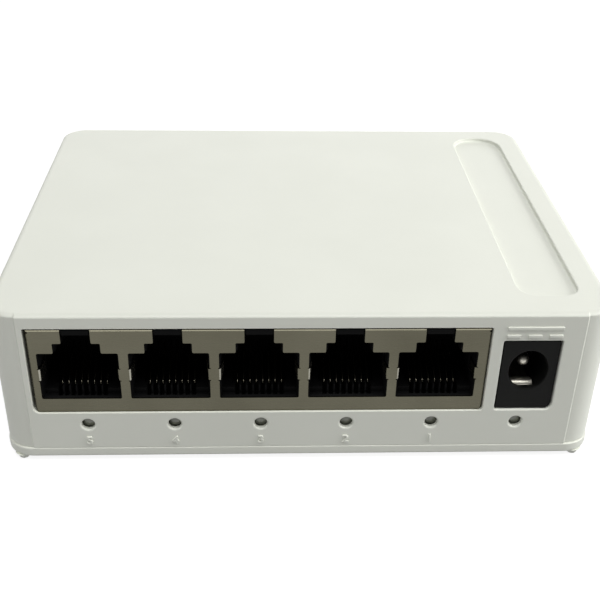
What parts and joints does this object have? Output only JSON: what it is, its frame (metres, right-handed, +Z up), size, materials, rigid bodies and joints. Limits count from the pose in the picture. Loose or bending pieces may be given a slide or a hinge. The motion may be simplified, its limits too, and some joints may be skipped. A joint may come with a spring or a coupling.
{
  "type": "desktop network switch",
  "caption": "Small desktop network switch: a white plastic case with a row of shielded network jacks, status lights and a round power inlet along its front.",
  "frame": {"origin": "middle of the footprint, on the surface that the four moulded feet stand on", "axes": "+X towards the power inlet end of the front, +Y to the rear, away from the jacks, +Z up"},
  "size_m": [0.0966, 0.0756, 0.028],
  "materials": {
    "case_plastic": "white moulded plastic with a fine matte texture",
    "nickel_plate": "satin nickel plate with a faint rolling grain",
    "black_plastic": "black moulded plastic, slightly satin",
    "gold_contacts": "gold-plated spring wire",
    "board_mask": "green solder mask",
    "chip_plastic": "dark moulded epoxy",
    "led_lens": "clear pale lens, unlit",
    "screw_steel": "zinc-plated steel",
    "can_aluminium": "satin aluminium can"
  },
  "bodies": {
    "root": {"top_cover": "case_plastic", "bottom_cover": "case_plastic", "jack_shield": "nickel_plate", "dc_jack_pin": "nickel_plate", "port_1_housing": "black_plastic", "port_2_housing": "black_plastic", "port_3_housing": "black_plastic", "port_4_housing": "black_plastic", "port_5_housing": "black_plastic", "dc_jack_body": "black_plastic", "circuit_board": "board_mask", "transformer_1": "chip_plastic", "transformer_2": "chip_plastic", "transformer_3": "chip_plastic", "transformer_4": "chip_plastic", "transformer_5": "chip_plastic", "switch_chip": "chip_plastic", "inductor": "chip_plastic", "regulator_chip": "chip_plastic", "input_diode": "chip_plastic", "link_led_1": "led_lens", "link_led_2": "led_lens", "link_led_3": "led_lens", "link_led_4": "led_lens", "link_led_5": "led_lens", "power_led": "led_lens", "board_screw_left": "screw_steel", "board_screw_right": "screw_steel", "case_screw_left": "screw_steel", "case_screw_right": "screw_steel", "crystal": "screw_steel", "capacitor_in": "can_aluminium", "capacitor_out": "can_aluminium"},
    "port_1_contacts": {"port_1_contacts": "gold_contacts"},
    "port_2_contacts": {"port_2_contacts": "gold_contacts"},
    "port_3_contacts": {"port_3_contacts": "gold_contacts"},
    "port_4_contacts": {"port_4_contacts": "gold_contacts"},
    "port_5_contacts": {"port_5_contacts": "gold_contacts"},
    "dc_jack_spring": {"dc_jack_spring": "nickel_plate"}
  },
  "joints": [
    {"name": "port_1_contacts_press", "type": "hinge", "parent": "root", "child": "port_1_contacts", "pos_m": [0.02104, -0.0336, 0.013], "axis": [1, 0, 0], "range_deg": [-8, 0], "stiffness_Nm_per_rad": 0.02},
    {"name": "port_2_contacts_press", "type": "hinge", "parent": "root", "child": "port_2_contacts", "pos_m": [0.00707, -0.0336, 0.013], "axis": [1, 0, 0], "range_deg": [-8, 0], "stiffness_Nm_per_rad": 0.02},
    {"name": "port_3_contacts_press", "type": "hinge", "parent": "root", "child": "port_3_contacts", "pos_m": [-0.0069, -0.0336, 0.013], "axis": [1, 0, 0], "range_deg": [-8, 0], "stiffness_Nm_per_rad": 0.02},
    {"name": "port_4_contacts_press", "type": "hinge", "parent": "root", "child": "port_4_contacts", "pos_m": [-0.02087, -0.0336, 0.013], "axis": [1, 0, 0], "range_deg": [-8, 0], "stiffness_Nm_per_rad": 0.02},
    {"name": "port_5_contacts_press", "type": "hinge", "parent": "root", "child": "port_5_contacts", "pos_m": [-0.03484, -0.0336, 0.013], "axis": [1, 0, 0], "range_deg": [-8, 0], "stiffness_Nm_per_rad": 0.02},
    {"name": "dc_jack_spring_press", "type": "hinge", "parent": "root", "child": "dc_jack_spring", "pos_m": [0.03475, -0.0256, 0.0137], "axis": [1, 0, 0], "range_deg": [0, 6], "stiffness_Nm_per_rad": 0.02}
  ]
}
